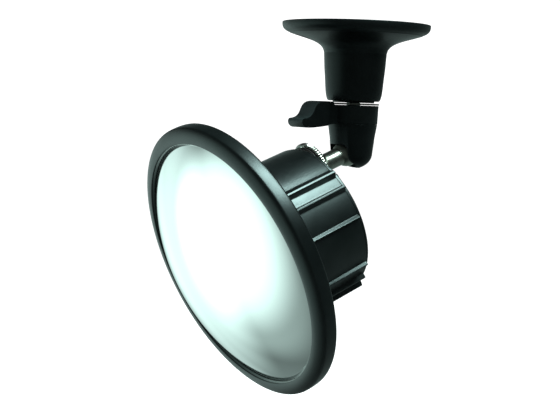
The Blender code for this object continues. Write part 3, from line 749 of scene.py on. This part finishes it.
def make_lock_disc():
    """Knurled lock nut: straight knurl round the edge, bevelled rims and a raised hub."""
    gap, washer_thickness, thickness = 0.3, 0.7, 2.7
    boss = BALL_TO_RING / MM - 64
    washer = boss - gap
    top = washer - washer_thickness - gap
    low = top - thickness
    teeth = 64
    segments = teeth * 8
    corners = [(14.6, top, 0.1), (15.3, top, 0.1), (16.0, top - 0.5, 0.2), (16.0, low + 0.5, 0.2),
               (15.3, low, 0.1), (14.6, low, 0.1), (13.6, low + 0.35, 0.2), (7.2, low + 0.35, 0.2),
               (6.6, low, 0.2), (3.7, low, 0.15), (3.4, low + 0.3, 0.1), (3.4, top, 0.1)]
    profile = softened(in_mm(corners), steps=3)

    def knurl(k, j):
        radius = profile[k][0]
        share = max(0, (radius - 15.0 * MM) / (1.0 * MM))
        tooth = abs(((j / segments * teeth) % 1) * 2 - 1)
        return -0.55 * MM * share * (1 - tooth)

    piece("knurled_disc", lathe(profile, segments, wave=knurl), STUD, "lock_disc", "chrome", ["lock_disc"])
    under = washer - washer_thickness
    ring = softened(in_mm([(14, washer, 0.2), (14, under, 0.2), (3.4, under, 0.1), (3.4, washer, 0.1)]))
    piece("disc_washer", lathe(ring, 96), STUD, "head", "black_rubber", ["lock_washer"])


# ---- bracket -----------------------------------------------------------------------------------------

PLATE_SCREWS = (5, 125, 245)  # degrees from +Y round to +X, as are the next
PLATE_SCREW_CIRCLE = 35.5 * MM
CEILING_HOLES = (35, 215)
CEILING_HOLE_CIRCLE = 30 * MM


def make_bracket():
    """Flared flange and pillar, with a fine step under the rim and two countersunk holes."""
    rim = [(42.2, 0), (42.5, -0.3), (42.5, -1.3)]
    edge = bezier((42.5, -1.3), (42.45, -3.6), (41.0, -5.0), (38.2, -6.0), 8)
    step = [(37.9, -6.25), (37.5, -6.35)]
    bell = bezier((37.5, -6.35), (28.3, -9.4), (18.9, -10.6), (18.15, -16.6), 22)
    crease = [(18.0, -16.8), (18.02, -17.2)]
    shaft = [(17.75, -21.5), (17.5, -25.7), (16.95, -31.5)]
    foot = bezier((16.5, -37.2), (16.2, -40.5), (15.8, -42.3), (15.25, -43.4), 8)
    toe = bezier((15.25, -43.4), (15.0, -43.9), (14.7, -44.2), (14.2, -44.2), 4)
    under = [(12, -44.2), (12, -45.1), (4.4, -45.1), (4.4, -40.0), (13.2, -40.0)]
    inside = [(13.8, -18), (18, -11), (22, -1.8), (39.4, -1.8), (39.4, 0)]
    pillar = bell + crease + shaft + [(16.5, -37.2)] + foot + toe
    bracket = piece("flange_and_pillar", lathe(in_mm(rim + edge + step + pillar + under + inside), 192),
                    UPRIGHT, "bracket", "black_plastic", ["bracket_base"], look="bracket_plastic")
    cutters = []
    for angle in CEILING_HOLES:
        countersunk = in_mm([(0, 1), (2.3, 1), (2.3, -5.2), (4.6, -7.3), (4.6, -14), (0, -14)])
        hole = lathe(countersunk, 40, closed=False)
        bmesh.ops.translate(hole, verts=hole.verts, vec=(*polar(CEILING_HOLE_CIRCLE, angle), 0))
        cutters.append(hole)
    for angle in PLATE_SCREWS:
        cutters.append(peg(1.5 * MM, -5 * MM, 1 * MM, 24, polar(PLATE_SCREW_CIRCLE, angle)))
    cut(bracket, cutters)
    ring = softened(in_mm([(14.8, -45.4, 0.2), (14.8, -46.3, 0.2), (4.4, -46.3, 0.1), (4.4, -45.4, 0.1)]))
    piece("bright_washer", lathe(ring, 128), UPRIGHT, "bracket", "chrome", ["swivel_washer"], look="dull")
    for number, angle in enumerate(PLATE_SCREWS, 1):
        seat = Matrix.Translation((*polar(PLATE_SCREW_CIRCLE, angle), -1.5 * MM))
        spot = seat @ Matrix.Rotation(number, 4, "Z")
        cross_screw(f"top_screw_{number}", f"plate_screw_{number}", 2.5 * MM, 1.3 * MM, 1.2 * MM, 3 * MM,
                    spot, "bracket")


def slot_outline():
    """The slot that the shank swings in, from the front: round upper corners, open below."""
    half, corner, top = 8.1 * MM, 3 * MM, -69 * MM
    arc = [(half - corner + corner * sin(a), top - corner + corner * cos(a))
           for a in (radians(90 - 9 * i) for i in range(11))]
    low = -90 * MM
    return [(half, low)] + arc + [(-x, z) for x, z in reversed(arc)] + [(-half, low)]


def make_socket():
    """Tapered cup with a domed foot, cut open at the front and below for the knuckle."""
    waist, bottom = -74.1, -83.3
    dome = [(12 * cos(a), waist + (bottom - waist) * sin(a)) for a in (radians(6 * i) for i in range(15))]
    corners = [(11.3, -46.6, 0.2), (11.3, -57.35, 0), (14.2, -57.35, 0.1), (13.0, -65, 0)]
    outside = softened(in_mm(corners), closed=False) + in_mm(dome) + [(0, bottom * MM)]
    inside = in_mm([(0, -66.6), (8.2, -66.6), (8.2, -50.5), (4.4, -50.5), (4.4, -46.6)])
    socket = piece("cup", lathe(outside + inside, 144), UPRIGHT, "socket", "black_plastic",
                   ["socket_shell"], look="bracket_plastic")
    stand = Matrix.Rotation(radians(90), 4, "X")
    slot = extruded(slot_outline(), 4 * MM, 20 * MM)
    cut(socket, [slot], stand)
    reach = 8.25 * MM
    arch = [(reach * sin(a), BALL.z + reach * cos(a)) for a in (radians(6 * i) for i in range(1, 15))]
    well = [(0, BALL.z + reach)] + arch + [(reach, BALL.z), (reach, -90 * MM), (0, -90 * MM)]
    cut(socket, [lathe(well, 96, closed=False)],
        Matrix.Translation((0, BALL.y, 0)) @ Matrix.Rotation(radians(1.7), 4, "Z"))
    across = Matrix.Translation(BALL) @ Matrix.Rotation(radians(90), 4, "Y")
    cut(socket, [peg(PIN_HOLE_RADIUS, -9.5 * MM, 9.5 * MM, 32, (0, 0))], across)
    bevelled(socket, 0.3 * MM, 3, 50)


LEVER_THICKNESS = 14 * MM
LEVER_NECK = 8 * MM  # its thickness between the collar and the blade


def lever_outline():
    """The lever from the side: level top, S-shaped back, turned-up lip and a nearly level belly."""
    back = [(13.6, -46.9), (16.1, -46.9), (16.4, -46.4), (16.9, -45.1), (17.6, -44.8), (25.0, -44.7)]
    crest = bezier((25.0, -44.7), (30.2, -44.8), (31.5, -47.4), (32.6, -50.0), 12)
    sweep = bezier((32.6, -50.0), (33.7, -53.0), (35.6, -54.4), (39.2, -54.7), 12)
    lip = bezier((39.2, -54.7), (41.3, -54.9), (41.3, -58.9), (37.6, -59.8), 12)
    belly = bezier((37.6, -59.8), (31.5, -60.0), (24.0, -58.6), (17.5, -57.6), 10)
    return in_mm(back + crest + sweep + lip + belly + [(13.6, -56.9)])


def narrow_neck(blade):
    """Draw the lever in between its collar and its blade."""
    for reach in (21.4, 22.5):
        everything = blade.verts[:] + blade.edges[:] + blade.faces[:]
        bmesh.ops.bisect_plane(blade, geom=everything, plane_co=(reach * MM, 0, 0), plane_no=(1, 0, 0))
    for vertex in blade.verts:
        if vertex.co.x < 22 * MM:
            vertex.co.z *= LEVER_NECK / LEVER_THICKNESS


def make_lever():
    """A tapered collar with the blade joined to it."""
    ring = softened(in_mm([(14.6, -46.6, 0.3), (14.25, -57.2, 0.2), (12.9, -57.2, 0.2), (12.9, -46.6, 0.2)]))
    lever = piece("thumb_lever", lathe(ring, 128), UPRIGHT, "lever", "black_plastic", ["clamp_lever"],
                  look="lever_plastic")
    blade = extruded(lever_outline(), -LEVER_THICKNESS / 2, LEVER_THICKNESS / 2)
    narrow_neck(blade)
    mesh = bpy.data.meshes.new("blade")
    blade.to_mesh(mesh)
    blade.free()
    holder = bpy.data.objects.new("blade", mesh)
    bpy.context.scene.collection.objects.link(holder)
    bevelled(holder, 1.0 * MM, 4, 50)
    shape = bmesh.new()
    shape.from_mesh(holder.data)
    bpy.data.objects.remove(holder, do_unlink=True)
    stand = Matrix.Rotation(radians(-90), 4, "Z") @ Matrix.Rotation(radians(90), 4, "X")
    cut(lever, [shape], stand, "UNION")


# ---- carried-over CAD pieces ---------------------------------------------------------------------------


def dress_frame():
    """Give every CAD piece that stays its finish."""
    slots = {entry["node"]: entry["material_slot"] for entry in frame["record"]["subparts"]}
    for name, node in NODES.items():
        look = LOOKS[slots[name]]
        if not node.material_slots:
            node.data.materials.append(look)
        for holder in node.material_slots:
            holder.material = look


# ---- stage ---------------------------------------------------------------------------------------------


def area_light(name, place_at, target, size, power, tint):
    """A rectangular light that looks at a target."""
    light = bpy.data.lights.new(name, "AREA")
    light.shape = "RECTANGLE"
    light.size, light.size_y = size
    light.energy = power
    light.color = tint
    holder = bpy.data.objects.new(name, light)
    bpy.context.scene.collection.objects.link(holder)
    holder.location = place_at
    holder.rotation_mode = "QUATERNION"
    holder.rotation_quaternion = (Vector(target) - Vector(place_at)).to_track_quat("-Z", "Y")


def toward(azimuth, elevation):
    """A direction: azimuth in degrees from -Y round to +X, elevation in degrees above level."""
    a, e = radians(azimuth), radians(elevation)
    return sin(a) * cos(e), -cos(a) * cos(e), sin(e)


# The studio that glossy surfaces see, as soft round glows. Each is its azimuth, elevation, inner radius and
# outer radius in degrees, and its brightness.
GLOWS = (
    (-75.5, -17, 3, 38, 1.05),
    (-33, -20, 13, 42, 1.2),
    (-34, -31, 30, 45, 0.33),
    (-117, -8, 8, 32, 0.42),
    (-147, -32, 2, 87, 0.2),
)
DIM = 0.03  # brightness of the studio between the glows
FLOOR_HEIGHT = -0.55


def make_world():
    """Even white light, seen as white, and a dim studio with soft glows that only reflections show."""
    world = bpy.data.worlds.new("studio")
    world.use_nodes = True
    nodes, links = world.node_tree.nodes, world.node_tree.links
    direction = nodes.new("ShaderNodeTexCoord").outputs["Generated"]
    total = None
    for azimuth, elevation, inner, outer, brightness in GLOWS:
        dot = nodes.new("ShaderNodeVectorMath")
        dot.operation = "DOT_PRODUCT"
        dot.inputs[1].default_value = toward(azimuth, elevation)
        links.new(direction, dot.inputs[0])
        fall = nodes.new("ShaderNodeMapRange")
        fall.interpolation_type = "SMOOTHSTEP"
        fall.inputs["From Min"].default_value = cos(radians(outer))
        fall.inputs["From Max"].default_value = cos(radians(inner))
        fall.inputs["To Max"].default_value = brightness
        links.new(dot.outputs["Value"], fall.inputs["Value"])
        added = nodes.new("ShaderNodeMath")
        added.operation = "ADD"
        added.inputs[1].default_value = DIM
        links.new(fall.outputs["Result"], added.inputs[0])
        if total:
            links.new(total, added.inputs[1])
        total = added.outputs[0]
    plain = nodes["Background"]
    plain.inputs["Color"].default_value = (1, 1, 1, 1)
    plain.inputs["Strength"].default_value = 1.3
    studio = nodes.new("ShaderNodeBackground")
    studio.inputs["Color"].default_value = (0.75, 1.0, 0.95, 1)
    links.new(total, studio.inputs["Strength"])
    either = nodes.new("ShaderNodeMixShader")
    links.new(nodes.new("ShaderNodeLightPath").outputs["Is Glossy Ray"], either.inputs[0])
    links.new(plain.outputs[0], either.inputs[1])
    links.new(studio.outputs[0], either.inputs[2])
    links.new(either.outputs[0], nodes["World Output"].inputs["Surface"])
    bpy.context.scene.world = world


def make_stage():
    """A pale floor, the world and one soft light above."""
    floor = bpy.data.objects.new("floor", bpy.data.meshes.new("floor"))
    bpy.context.scene.collection.objects.link(floor)
    shape = bmesh.new()
    bmesh.ops.create_grid(shape, x_segments=4, y_segments=4, size=12)
    shape.to_mesh(floor.data)
    shape.free()
    floor.location = (0, 0, FLOOR_HEIGHT)
    floor.data.materials.append(stage_paper("floor_paper", (0.9, 0.9, 0.9)))
    floor.visible_glossy = False
    make_world()
    middle = Vector((0.0, -0.03, -0.1))
    above = middle + Vector(toward(115, 66)) * 1.5
    area_light("softbox", above, middle, (0.75, 0.75), 68, (0.8, 1.0, 0.99))
    bpy.context.scene.view_settings.view_transform = "Standard"


make_camera()
make_stage()
dress_frame()
make_mirror()
make_bezel()
make_back_plate()
make_barrel()
make_rear_cover()
make_gland()
make_head_screws()
make_stud()
make_lock_disc()
make_bracket()
make_socket()
make_lever()
